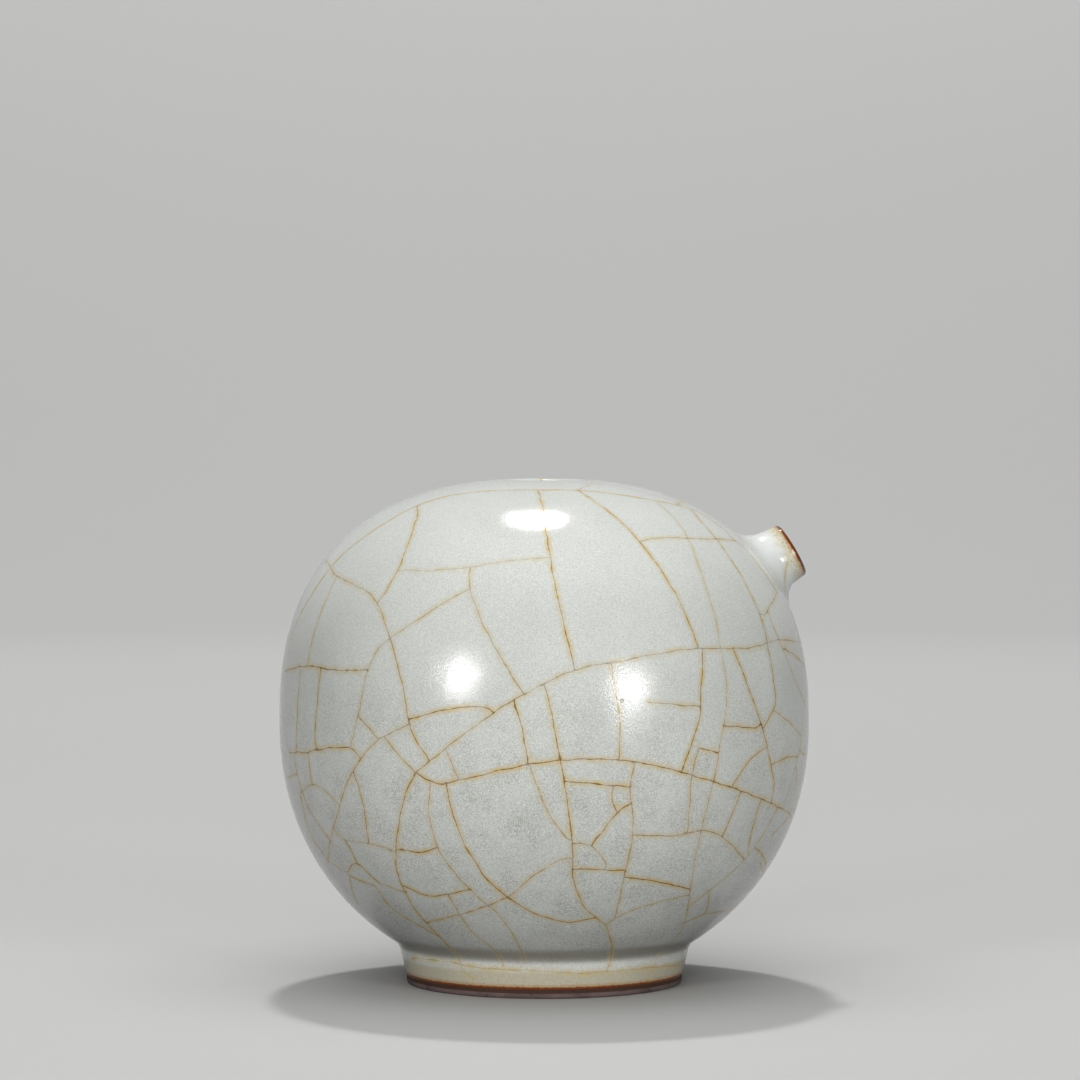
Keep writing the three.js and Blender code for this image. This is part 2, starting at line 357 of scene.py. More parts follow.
CROWN_CRACKS = [
    [(289, 644), (301, 613), (331, 567), (367, 535), (419, 505), (475, 492), (560, 490), (615, 494),
     (688, 508), (718, 525), (737, 539)],
    [(403, 500), (407, 508)],
    [(599, 482), (583, 487), (579, 491)],
    [(324, 558), (331, 567), (336, 576), (363, 589), (377, 603), (390, 638), (402, 684), (411, 730),
     (428, 759)],
    [(418, 506), (416, 521), (402, 560), (388, 588), (377, 603)],
    [(397, 571), (451, 569), (509, 561), (550, 557)],
    [(538, 491), (543, 511), (550, 557), (560, 608), (575, 670)],
    [(470, 568), (470, 589), (484, 626), (507, 668), (525, 696)],
    [(470, 589), (442, 604), (405, 628), (390, 638)],
    [(579, 491), (613, 515), (640, 542), (668, 581), (687, 618), (699, 649)],
    [(658, 500), (682, 528), (698, 563), (714, 614), (721, 650), (727, 697), (720, 745), (714, 779),
     (701, 832), (692, 878), (683, 927), (658, 957), (647, 981)],
    [(691, 509), (718, 541), (743, 579), (761, 618), (770, 658), (775, 693), (774, 709), (765, 728)],
    [(640, 541), (658, 538), (714, 539), (735, 541)],
]
LEFT_CRACKS = [
    [(390, 638), (375, 653), (365, 680), (358, 716), (350, 748)],
    [(285, 671), (306, 666), (335, 670), (367, 669)],
    [(336, 577), (317, 623), (307, 666)],
    [(301, 668), (298, 699), (296, 753)],
    [(320, 672), (315, 726), (316, 750)],
    [(282, 700), (286, 753)],
    [(289, 753), (307, 752), (329, 748), (350, 748), (361, 759)],
    [(359, 717), (375, 735), (379, 740)],
    [(408, 724), (379, 740), (361, 759), (347, 783), (336, 819), (329, 848), (328, 860)],
    [(409, 719), (448, 709), (483, 707), (494, 713)],
    [(300, 792), (312, 785), (323, 789), (337, 805)],
    [(308, 752), (310, 771), (313, 785)],
    [(294, 753), (297, 773), (309, 809), (325, 840)],
    [(287, 778), (294, 775)],
    [(300, 793), (309, 831), (326, 861)],
    [(385, 738), (398, 755), (416, 773)],
]
GIRDLE_CRACKS = [
    [(416, 773), (458, 738), (494, 713), (532, 690), (575, 670), (631, 659), (690, 649), (747, 648),
     (777, 640), (800, 642)],
    [(416, 773), (438, 784), (459, 781), (497, 771), (544, 762), (601, 759), (643, 763), (692, 775),
     (741, 791), (786, 811), (791, 819)],
    [(445, 749), (455, 771), (459, 781)],
    [(515, 703), (523, 734), (528, 765)],
    [(545, 686), (553, 722), (560, 759), (567, 799), (572, 838), (573, 878), (585, 908), (605, 925),
     (612, 949), (607, 971)],
    [(530, 766), (546, 809), (565, 836), (572, 840)],
    [(565, 781), (607, 785), (630, 787)],
    [(634, 765), (630, 787), (633, 819), (631, 846), (624, 878), (614, 919)],
    [(614, 787), (612, 799), (616, 811)],
    [(630, 803), (616, 814), (591, 846)],
    [(572, 843), (591, 846), (605, 862), (606, 870)],
    [(573, 869), (606, 870), (625, 870)],
    [(648, 702), (670, 704), (699, 707)],
    [(611, 664), (617, 700), (620, 724), (619, 761)],
    [(703, 650), (701, 689), (699, 720), (682, 771)],
    [(699, 749), (692, 775), (690, 799), (687, 832)],
    [(695, 747), (718, 753)],
]
LOWER_CRACKS = [
    [(416, 773), (404, 799), (396, 850), (399, 878), (416, 911), (438, 935), (458, 957), (462, 968)],
    [(429, 783), (429, 815), (438, 847), (454, 872), (479, 898), (501, 917), (519, 945), (527, 969)],
    [(446, 785), (455, 821), (471, 856), (495, 887), (532, 912), (567, 922), (596, 918)],
    [(508, 897), (532, 877), (559, 860), (571, 858)],
    [(508, 897), (475, 910), (442, 919), (428, 922)],
    [(396, 850), (422, 852), (439, 847)],
    [(336, 829), (345, 840), (370, 843), (396, 852)],
    [(345, 840), (352, 852), (359, 864)],
    [(353, 772), (363, 803), (369, 841)],
    [(380, 884), (403, 894)],
    [(403, 886), (432, 896), (470, 890)],
    [(448, 896), (468, 927), (497, 953), (504, 969)],
    [(375, 888), (394, 910), (438, 939)],
    [(347, 872), (357, 864), (380, 884)],
    [(328, 861), (347, 872)],
    [(350, 876), (375, 886)],
    [(350, 876), (357, 903)],
    [(632, 835), (674, 836), (701, 831), (722, 837), (743, 858)],
    [(625, 877), (658, 882), (684, 888)],
    [(605, 925), (633, 910), (686, 894)],
    [(741, 792), (727, 826), (722, 837)],
    [(760, 802), (750, 838), (745, 852)],
    [(778, 808), (755, 847), (730, 874), (702, 896), (686, 910)],
    [(755, 847), (766, 866)],
    [(712, 894), (705, 914)],
    [(684, 923), (705, 914), (732, 910)],
    [(412, 958), (442, 961), (482, 968), (527, 970), (580, 973), (634, 969), (679, 965)],
    [(461, 967), (465, 973), (474, 979)],
]
RIGHT_CRACKS = [
    [(733, 651), (749, 689), (763, 730), (771, 765), (774, 785), (772, 801)],
    [(760, 615), (767, 612), (778, 595)],
    [(771, 613), (783, 650), (806, 703)],
    [(725, 726), (753, 728), (761, 724)],
    [(774, 711), (789, 722), (802, 736)],
    [(765, 747), (749, 761), (732, 785)],
    [(771, 765), (787, 757), (798, 757)],
    [(805, 700), (803, 720), (798, 757), (784, 807)],
    [(736, 541), (750, 554), (763, 571), (777, 592)],
    [(788, 555), (785, 580), (785, 591)],
]
FRONT_CRACKS = CROWN_CRACKS + LEFT_CRACKS + GIRDLE_CRACKS + LOWER_CRACKS + RIGHT_CRACKS
SNAP_PIXELS = 7  # an end this close to another crack runs up to it
SPAN_POINTS = 8  # points of the smooth line for each chosen one


def nearest_on(point, line):
    """The point of a broken line nearest to a point, and how far it is."""
    best, where = 1e9, point
    for a, b in zip(line[:-1], line[1:]):
        a, b = np.array(a, float), np.array(b, float)
        share = np.clip(np.dot(point - a, b - a) / max(np.dot(b - a, b - a), 1e-9), 0, 1)
        spot = a + share * (b - a)
        if np.linalg.norm(point - spot) < best:
            best, where = np.linalg.norm(point - spot), spot
    return where, best


def joined_ends(lines):
    """Each line with its ends run up to the crack that they nearly meet."""
    joined = [np.array(line, float) for line in lines]
    for i, line in enumerate(joined):
        for end in (0, -1):
            found = [nearest_on(line[end], other) for j, other in enumerate(joined) if j != i]
            spot, distance = min(found, key=lambda pair: pair[1])
            if distance < SNAP_PIXELS:
                line[end] = spot
    return joined


def rounded(line):
    """A smooth line through the points of a broken one."""
    if len(line) < 3:
        return line
    padded = np.concatenate(([2 * line[0] - line[1]], line, [2 * line[-1] - line[-2]]))
    made = []
    for a, b, c, d in zip(padded[:-3], padded[1:-2], padded[2:-1], padded[3:]):
        for t in np.linspace(0, 1, SPAN_POINTS, endpoint=False):
            made.append(0.5 * (2 * b + (c - a) * t + (2 * a - 5 * b + 4 * c - d) * t**2
                               + (3 * b - a - 3 * c + d) * t**3))
    made.append(line[-1])
    return np.array(made)


SIGHT_TURNS = (-200, 20)  # degrees round the pot that the camera may see
SIGHT_GRID = 330
PINHOLE_PIXEL = (622, 701)


def coarse_map():
    """A quick mesh of the skin with its plane's places, to find where a sight line lands."""
    us = np.radians(np.linspace(*SIGHT_TURNS, SIGHT_GRID))
    vs = np.linspace(V_FOOT, V_MOUTH, SIGHT_GRID)
    grid_u, grid_v = np.meshgrid(us, vs)
    places = np.stack((grid_u.ravel(), grid_v.ravel()), 1)
    points = on_skin(places)
    wide = len(us)
    faces = []
    for row in range(len(vs) - 1):
        for column in range(wide - 1):
            a = row * wide + column
            faces.append((a, a + 1, a + wide + 1))
            faces.append((a, a + wide + 1, a + wide))
    tree = BVHTree.FromPolygons([Vector(p) for p in points], faces)
    return tree, faces, places, points


SIGHT_MAP = coarse_map()


def seen_point(pixel):
    """The point of the skin that the photograph shows at a pixel."""
    return SIGHT_MAP[0].ray_cast(*sight_line(pixel))[0]


def front_cracks():
    """The photograph's cracks as lines on the plane."""
    tree, faces, places, points = SIGHT_MAP
    unit = [Vector(axis) for axis in ((1, 0, 0), (0, 1, 0), (0, 0, 1))]
    lines = []
    for line in joined_ends(FRONT_CRACKS):
        landed = []
        for pixel in rounded(line):
            start, direction = sight_line(pixel)
            hit, _, face, _ = tree.ray_cast(start, direction)
            if hit is None:
                continue
            corners = faces[face]
            weights = geometry.barycentric_transform(hit, *[Vector(points[c]) for c in corners], *unit)
            landed.append(sum(weights[i] * places[corners[i]] for i in range(3)))
        if len(landed) > 1:
            lines.append(np.array(landed))
    return lines


# The map of cracks

U_LEFT = math.radians(-185)  # just behind the pot's two edges, as the photograph sees them
U_RIGHT = math.radians(4)
U_LIMB = math.radians(-24)  # from here to the right edge the photograph shows too few of the cracks
SEAM = math.radians(95)  # the back, where the unrolled skin is cut
SEAM_WAVES = ((0.06, 3.1, 0), (0.025, 7.7, 1), (0.01, 17, 2))  # how the cut wavers: width, pace and start
V_TOP = float(np.interp(MOUTH_DEPTH - MOUTH_LIP_RADIUS - 1, [0, MOUTH_DEPTH], [V_MOUTH, V_MOUTH - 0.5]))
SPOUT_CLEAR = 5.4  # made-up cracks stop this far from the spout's axis
SHOWN_CLEAR = 17.0  # and this far from it on the side that the photograph shows
BIG_CELL, SMALL_CELL = 420.0, 150.0  # square millimetres between cracks, high and low on the pot
CELL_HEIGHTS = (42, 62)  # from the small cells' height to the big ones'
CELL_SPREAD = (0.55, 1.9)  # made-up cells are this much smaller or larger
DEEPEST_CUT = 12
CUT_TILT, CUT_OFFSET, CUT_BOW = 26, 0.16, 0.1  # a cut's tilt in degrees, its offset and its bow as shares
FOOT_CLEAR, MOUTH_CLEAR = 0.03, 0.06  # made-up cracks end this far from the plane's edges
CUT_CLEAR = 0.3  # and this far from the skin's cut
SHOWN_GAP = 1.0  # and one that comes this near a shown crack ends on it
LEAST_RUN = 8  # points of the shortest crack that is kept, less one
CRACK_STEP = 0.8
FINDER_STEP = 0.12
RING_STEP = 4
SMALL_WAVES = (0.22, 2.5)  # how far cracks waver, and over what size
LARGE_WAVES = (2.2, 16)
NOISE_SEED = 5  # without it the smooth noise would start from the clock
CRACK_SEED, FACE_SEED, BACK_SEED = 11, 3, 4

noise.seed_set(NOISE_SEED)


def seam_at(v):
    place = SEAM
    for width, pace, start in SEAM_WAVES:
        place = place + width * np.sin(pace * v + start)
    return place


def wavy(places, amount, size):
    """The places of a line, each moved a little by a smooth noise of the skin."""
    points = on_skin(places)
    moves = np.array([noise.noise_vector(Vector(point) / size) for point in points])[:, :2]
    return places + amount * moves / scale_at(places[:, 0], places[:, 1])[:, None]


def even_on_skin(places, step):
    """A line of the plane with its points at even distances on the skin."""
    along = run_lengths(on_skin(places))
    if along[-1] < step:
        return places[[0, -1]]
    at = np.linspace(0, along[-1], int(round(along[-1] / step)) + 1)
    return np.stack([np.interp(at, along, places[:, i]) for i in (0, 1)], 1)


def cell_area(cell):
    u, v = cell[:, 0], cell[:, 1]
    area = 0.5 * abs(np.dot(u, np.roll(v, -1)) - np.dot(v, np.roll(u, -1)))
    return area * float(radius_at(v.mean())) ** 2


def cut_across(cell, dice):
    """Cuts a cell across its length by a slightly bowed line. Returns the line and both halves."""
    centre = cell.mean(0)
    axes = np.linalg.eigh(np.cov((cell - centre).T))[1]
    turn = math.atan2(axes[1, 0], axes[0, 0]) + math.radians(dice.uniform(-CUT_TILT, CUT_TILT))
    spread = (cell - centre) @ axes[:, 1]
    start = centre + axes[:, 1] * dice.uniform(-CUT_OFFSET, CUT_OFFSET) * (spread.max() - spread.min())
    along = np.array((math.cos(turn), math.sin(turn)))
    across = np.array((-along[1], along[0]))
    sides = (cell - start) @ across
    met = []
    for i, (a, b) in enumerate(zip(sides, np.roll(sides, -1))):
        if a * b < 0:
            spot = cell[i] + (cell[(i + 1) % len(cell)] - cell[i]) * a / (a - b)
            met.append(((spot - start) @ along, i, spot))
    behind = [m for m in met if m[0] < 0]
    ahead = [m for m in met if m[0] >= 0]
    if not behind or not ahead:
        return None
    _, first, a = max(behind, key=lambda m: m[0])
    _, last, b = min(ahead, key=lambda m: m[0])
    middle = (a + b) / 2 + across * np.linalg.norm(b - a) * dice.uniform(-CUT_BOW, CUT_BOW)
    t = np.linspace(0, 1, 9)[:, None]
    line = (1 - t) ** 2 * a + 2 * t * (1 - t) * middle + t**2 * b
    count = len(cell)
    one = [cell[(last + 1 + k) % count] for k in range((first - last) % count)]
    other = [cell[(first + 1 + k) % count] for k in range((last - first) % count)]
    return line, np.array(list(line) + one), np.array(list(line[::-1]) + other)


def crackle(cell, dice, found, depth=0):
    """Cuts a cell again and again, as a cooling glaze cracks, until its pieces are small enough."""
    height = float(np.interp(cell[:, 1].mean(), V, OUTLINE[:, 1]))
    wanted = np.interp(height, CELL_HEIGHTS, (SMALL_CELL, BIG_CELL)) * dice.uniform(*CELL_SPREAD)
    if depth > DEEPEST_CUT or cell_area(cell) < wanted:
        return
    cut = cut_across(cell, dice)
    if cut is None:
        return
    line, one, other = cut
    found.append((line, depth))
    crackle(one, dice, found, depth + 1)
    crackle(other, dice, found, depth + 1)


def upright(u, low, high, count=60):
    return np.stack((np.full(count, u), np.linspace(low, high, count)), 1)


class CrackFinder:
    """How far any point lies from the nearest crack, and how strong that crack is."""

    def __init__(self, cracks):
        fine = [even_on_skin(line, FINDER_STEP) for line, _ in cracks]
        self.places = np.concatenate(fine)
        self.points = on_skin(self.places)
        strengths = [np.full(len(line), strength) for line, (_, strength) in zip(fine, cracks)]
        self.strengths = np.concatenate(strengths)
        self.tree = kdtree.KDTree(len(self.points))
        for i, point in enumerate(self.points):
            self.tree.insert(Vector(point), i)
        self.tree.balance()

    def look(self, points):
        found = [self.tree.find(Vector(point)) for point in points]
        distances = np.array([f[2] for f in found])
        return distances, np.array([self.strengths[f[1]] for f in found])


def hidden_cracks(ring):
    """Cracks where the photograph doesn't reach: the back, and the crown above its first ring."""
    dice = random.Random(CRACK_SEED)
    seam = upright(0, V_FOOT, V_TOP)
    seam[:, 0] = seam_at(seam[:, 1])
    right, left = upright(U_RIGHT, V_FOOT, V_TOP), upright(U_LEFT, V_FOOT, V_TOP)
    back_left = left + np.array((2 * math.pi, 0))
    above_ring = [(U_RIGHT, ring[-1, 1]), (U_RIGHT, V_TOP), (U_LEFT, V_TOP), (U_LEFT, ring[0, 1])]
    cells = [
        np.concatenate((right[::-1], seam)),
        np.concatenate((seam[::-1], back_left)),
        np.concatenate((ring, above_ring)),
        np.concatenate((upright(U_LIMB, V_FOOT, V_TOP), right[::-1])),
    ]
    found = [(right, 0), (left, 0)]
    for cell in cells:
        crackle(cell, dice, found)
    return found


def kept_runs(places, shown):
    """The parts of a made-up line that stay clear of the spout, of the skin's cut and of shown cracks.

    An end that came near a shown crack runs up to it.
    """
    u, v = places[:, 0], places[:, 1]
    reach = np.minimum(disc_place(u, v)[0], disc_place(u - 2 * math.pi, v)[0])
    clear = np.where(u < ROOT_U, SHOWN_CLEAR, SPOUT_CLEAR)
    from_cut = seam_at(v) - u
    gap = np.minimum(np.abs(from_cut), np.abs(from_cut - 2 * math.pi)) * radius_at(v)
    inside = (v > V_FOOT + FOOT_CLEAR) & (v < V_MOUTH - MOUTH_CLEAR)
    nearest = [shown.tree.find(Vector(point)) for point in on_skin(places)]
    apart = np.array([found[2] for found in nearest])
    good = (reach > clear) & (gap > CUT_CLEAR) & inside & (apart > SHOWN_GAP)
    runs, run = [], []
    for i, place in enumerate(places):
        if good[i]:
            if not run and i and apart[i - 1] <= SHOWN_GAP:
                run.append(shown.places[nearest[i - 1][1]])
            run.append(place)
        elif run:
            if apart[i] <= SHOWN_GAP:
                run.append(shown.places[nearest[i][1]])
            runs.append(run)
            run = []
    runs.append(run)
    return [np.array(r) for r in runs if len(r) > LEAST_RUN]


def within_turn(places):
    """The line's places, moved by a full turn where they lie past the skin's cut."""
    u, v = places[len(places) // 2]
    from_cut = float(seam_at(v)) - u
    return places - np.array((2 * math.pi * math.floor(-from_cut / (2 * math.pi) + 1), 0))


def all_cracks():
    """Every crack as a line on the plane, with how strongly it shows."""
    shown = front_cracks()
    cracks = []
    for number, line in enumerate(shown):
        line = wavy(even_on_skin(line, CRACK_STEP), *SMALL_WAVES)
        cracks.append((line, 0.75 + 0.25 * math.cos(number * 2.4)))  # some strong, some weak
    finder = CrackFinder(cracks)
    for line, depth in hidden_cracks(even_on_skin(shown[0], RING_STEP)):
        line = wavy(even_on_skin(line, CRACK_STEP), *LARGE_WAVES)
        for run in kept_runs(wavy(line, *SMALL_WAVES), finder):
            cracks.append((within_turn(run), max(0.55, 1 - 0.07 * depth)))  # early ones are strong
    return cracks


# The glaze's mesh

BODY_STEP = 1.15  # distance between the points of the body's mesh
SPOUT_STEP = 0.6
BACK_STEP = 2.6  # the same on the side that lies against the clay
BACK_SPOUT_STEP = 1.2
CUT_POINTS = 400  # on a first line along the skin's cut
ROW_SHARE = 0.866  # the distance between staggered rows, as a share of the distance in a row
ROW_JITTER = 0.1
ROW_CUT_MARGIN = 0.4 * BODY_STEP  # rows keep this far from the cut
LEAST_RING = 20  # points of the smallest ring on the spout
CRACK_MARGIN = 0.42  # other points keep this far from a crack
ON_CRACK, OFF_CRACK = 0.08, 0.11  # a point nearer than the first lies on a crack, one past the second doesn't
BORE_SIDES = 40
FOOT_SIDES = 170
MOUTH_SIDES = 72


class Plan:
    """Points and edges on the plane, for one triangulation."""

    def __init__(self):
        self.places, self.edges = [], []

    def add_line(self, places, closed=False):
        first = len(self.places)
        self.places += [tuple(place) for place in places]
        count = len(places)
        self.edges += [(first + i, first + i + 1) for i in range(count - 1)]
        if closed:
            self.edges.append((first + count - 1, first))
        return list(range(first, first + count))

    def add_points(self, places):
        self.places += [tuple(place) for place in places]

    def add_borders(self):
        """Both sides of the cut, then the foot's edge, the mouth's and the bore's."""
        vs = np.linspace(V_FOOT, V_MOUTH, CUT_POINTS)
        vs = even_on_skin(np.stack((seam_at(vs), vs), 1), BODY_STEP)[:, 1]
        self.cut_heights = vs
        self.right = self.add_line(np.stack((seam_at(vs), vs), 1))
        self.left = self.add_line(np.stack((seam_at(vs) - 2 * math.pi, vs), 1))
        self.loops = []
        for v, sides, end in ((V_FOOT, FOOT_SIDES, 0), (V_MOUTH, MOUTH_SIDES, -1)):
            us = float(seam_at(v)) - 2 * math.pi + np.arange(1, sides) * 2 * math.pi / sides
            inner = self.add_line(np.stack((us, np.full(len(us), v)), 1))
            self.edges += [(self.left[end], inner[0]), (inner[-1], self.right[end])]
            self.loops.append([self.left[end]] + inner)
        self.loops.append(self.add_line(ring_places(DISC_DEEPEST, BORE_SIDES, 0), closed=True))

    def cut_up(self):
        """Triangles of the plane, with the cut's two sides made one, and the loops in their numbers."""
        corners = [Vector(place) for place in self.places]
        done = geometry.delaunay_2d_cdt(corners, self.edges, [], 1, 1e-7, True)
        places = np.array([tuple(place) for place in done[0]])
        triangles = np.array(done[2])
        middles = places[triangles].mean(1)
        bore_side = DISC_HOLE * math.cos(math.pi / BORE_SIDES)
        outside_bore = disc_place(middles[:, 0], middles[:, 1])[0] > bore_side
        from_cut = np.interp(middles[:, 1], self.cut_heights, seam_at(self.cut_heights)) - middles[:, 0]
        wanted = outside_bore & (from_cut > 0) & (from_cut < 2 * math.pi)
        new_number = {old: new for new, olds in enumerate(done[3]) for old in olds}
        joined = np.arange(len(places))
        for a, b in zip(self.left, self.right):
            joined[new_number[b]] = new_number[a]
        triangles = joined[triangles[wanted]]
        used, packed = np.unique(triangles, return_inverse=True)
        final = {int(number): i for i, number in enumerate(used)}
        loops = [[final[int(joined[new_number[i]])] for i in loop] for loop in self.loops]
        return places[used], packed.reshape(-1, 3), loops


def ring_places(depth, count, turn):
    """Places on a circle of the spout's disc."""
    angles = (np.arange(count) + turn) * 2 * math.pi / count
    reach = DISC * math.exp(-depth) / ROOT_RADIUS
    return np.stack((ROOT_U + reach * np.cos(angles), ROOT_V + reach * np.sin(angles)), 1)


def body_rows(step, dice):
    """Staggered rows of places over the whole plane, apart from the spout's disc."""
    rows = []
    for i, at in enumerate(np.arange(step * 0.8, OUTLINE_LENGTH[-1] - step * 0.5, step * ROW_SHARE)):
        v = float(np.interp(at, OUTLINE_LENGTH, V))
        cut, radius = float(seam_at(v)), float(radius_at(v))
        count = int(round(2 * math.pi * radius / step))
        jitter = np.array([dice.uniform(-ROW_JITTER, ROW_JITTER) for _ in range(count)])
        us = cut - 2 * math.pi * (np.arange(count) + 0.5 * (i % 2) + 0.25 + jitter) / count
        gap = np.minimum(us - cut + 2 * math.pi, cut - us) * radius
        rows.append(np.stack((us, np.full(count, v)), 1)[gap > ROW_CUT_MARGIN])
    places = np.concatenate(rows)
    return places[disc_place(places[:, 0], places[:, 1])[0] > DISC]


def spout_rows(step):
    """Staggered rings of places over the spout's disc."""
    rings, depth, turn = [], 0.0, 0.0
    while depth < DISC_DEEPEST - 0.04:
        reach = DISC * math.exp(-depth) / ROOT_RADIUS
        radius = float(scale_at(np.array([ROOT_U + reach]), np.array([ROOT_V]))[0]) * reach
        count = max(LEAST_RING, int(round(2 * math.pi * radius / step)))
        rings.append(ring_places(depth, count, turn))
        depth += ROW_SHARE * step / radius
        turn = 0.5 - turn
    return np.concatenate(rings)


def wedge_places(places, triangles, finder):
    """Places inside triangles that only touch cracks, so that the glaze between cracks stays pale."""
    on_crack = finder.look(on_skin(places))[0] < ON_CRACK
    full = triangles[on_crack[triangles].all(1)]
    sides = np.concatenate((full[:, [0, 1]], full[:, [1, 2]], full[:, [2, 0]]))
    sides = np.unique(np.sort(sides, 1), axis=0)
    middles = np.concatenate((places[sides].mean(1), places[full].mean(1)))
    spans = places[sides][:, 1] - places[sides][:, 0]
    narrow = np.concatenate((np.abs(spans[:, 0]) < 1, np.ones(len(full), bool)))
    far = finder.look(on_skin(middles))[0] > OFF_CRACK
    return middles[narrow & far]


def face_sheet(cracks, finder):
    """The glaze's outer side."""
    plan = Plan()
    plan.add_borders()
    for line, _ in cracks:
        plan.add_line(line)
    free = np.concatenate((body_rows(BODY_STEP, random.Random(FACE_SEED)), spout_rows(SPOUT_STEP)))
    distance = finder.look(on_skin(free))[0]
    plan.add_points(free[distance > CRACK_MARGIN])
    for _ in range(2):
        places, triangles, _ = plan.cut_up()
        plan.add_points(wedge_places(places, triangles, finder))
    return plan.cut_up()


def back_sheet():
    """The side that lies against the clay."""
    plan = Plan()
    plan.add_borders()
    plan.add_points(body_rows(BACK_STEP, random.Random(BACK_SEED)))
    plan.add_points(spout_rows(BACK_SPOUT_STEP))
    return plan.cut_up()


# Over these distances the glaze grows from nothing to its edge's depth, and from there to its full one
FOOT_THINNING = (0, 0.9, 6, 10)
MOUTH_THINNING = (0, 1, 6, 10)
SPOUT_THINNING = (-0.3, 0.3)  # as logarithms of the distance from the spout's root
BORE_THINNING = (0, 0.35)


def glaze_depth(u, v):
    """How thick the glaze is: it thins to nothing at its edges and is thinner on spout and foot."""
    along = np.interp(v, V, OUTLINE_LENGTH)
    reach = np.maximum(disc_place(u, v)[0], DISC_HOLE)
    depths = (0, EDGE_GLAZE, EDGE_GLAZE, GLAZE)
    return np.minimum.reduce((
        np.interp(along, FOOT_THINNING, depths),
        np.interp(OUTLINE_LENGTH[-1] - along, MOUTH_THINNING, depths),
        np.interp(np.log(DISC / reach), SPOUT_THINNING, (GLAZE, EDGE_GLAZE)),
        GLAZE - sag(u, v),
        np.interp(np.log(reach / DISC_HOLE), BORE_THINNING, (0, EDGE_GLAZE)),
    ))


def add_piece(name, mesh):
    piece = bpy.data.objects.new(name, mesh)
    bpy.context.scene.collection.objects.link(piece)
    return piece


FARTHEST_CRACK = 3  # distances past this are written as this
CUT_END, CUT_STRENGTH = 0.3, 0.9  # the skin's cut shows as one more crack, which ends short of the mouth


def make_glaze(finish):
    """The crackled skin: its outer side and the one against the clay, sewn along their borders."""
    cracks = all_cracks()
    cut = upright(0, V_FOOT, V_MOUTH - CUT_END, CUT_POINTS)
    cut[:, 0] = seam_at(cut[:, 1])
    finder = CrackFinder(cracks + [(cut, CUT_STRENGTH)])
    places, triangles, loops = face_sheet(cracks, finder)
    back_places, back_triangles, back_loops = back_sheet()
    points = on_skin(places)
    normals = skin_normal(places[:, 0], places[:, 1])
    back_normals = -skin_normal(back_places[:, 0], back_places[:, 1])
    depth = glaze_depth(back_places[:, 0], back_places[:, 1])[:, None]
    back_points = on_skin(back_places) + depth * back_normals
    number = np.arange(len(back_points)) + len(points)
    for loop, back_loop in zip(loops, back_loops):
        for a, b in zip(loop, back_loop):
            number[b] = a
    all_points = np.concatenate((points, back_points))
    all_normals = np.concatenate((normals, back_normals))
    all_triangles = np.concatenate((triangles, number[back_triangles][:, ::-1]))
    used, packed = np.unique(all_triangles, return_inverse=True)
    all_triangles = packed.reshape(-1, 3)
    distance, strength = finder.look(all_points[used])
    mesh = bpy.data.meshes.new("glaze_skin")
    mesh.from_pydata((all_points[used] * MM).tolist(), [], all_triangles.tolist())
    distance = np.minimum(distance, FARTHEST_CRACK)
    for name, values in (("crack_distance", distance), ("crack_strength", strength)):
        layer = mesh.attributes.new(name, "FLOAT", "POINT")
        layer.data.foreach_set("value", values.astype(np.float32))
    mesh.shade_smooth()
    mesh.normals_split_custom_set_from_vertices([tuple(n) for n in all_normals[used]])
    mesh.materials.append(finish)
    print("glaze skin:", len(cracks), "cracks,", len(all_triangles), "triangles")
    return add_piece("glaze_skin", mesh)


# Finishes


def linear(level):
    level = level / 255
    return level / 12.92 if level <= 0.04045 else ((level + 0.055) / 1.055) ** 2.4


def shade(*levels):
    """A colour as the eye reads it, from 0 to 255, made linear."""
    return (*[linear(level) for level in levels], 1.0)


class Wire:
    """One output of a node. Arithmetic on it adds the nodes that work it out."""

    def __init__(self, recipe, socket):
        self.recipe, self.socket = recipe, socket

    def math(self, operation, *ends):
        return self.recipe.node("ShaderNodeMath", {"operation": operation}, dict(enumerate(ends)))

    def between(self, low, high):
        """0 up to low, 1 from high on, and a soft step between them. Low may be above high."""
        if low > high:
            return 1 - self.between(high, low)
        return self.recipe.node("ShaderNodeMapRange", {"interpolation_type": "SMOOTHSTEP"},
                                {"Value": self, "From Min": low, "From Max": high})

    def band(self, start, full, still_full, end):
        """1 between the two middle values, and soft steps down to 0 at the outer ones."""
        return self.between(start, full) * self.between(end, still_full)


def add_sign(sign, operation):
    """Lets a wire stand on either side of an arithmetic sign."""
    setattr(Wire, f"__{sign}__", lambda wire, other: wire.math(operation, wire, other))
    setattr(Wire, f"__r{sign}__", lambda wire, other: wire.math(operation, other, wire))


for sign, operation in (("add", "ADD"), ("sub", "SUBTRACT"), ("mul", "MULTIPLY"), ("truediv", "DIVIDE")):
    add_sign(sign, operation)


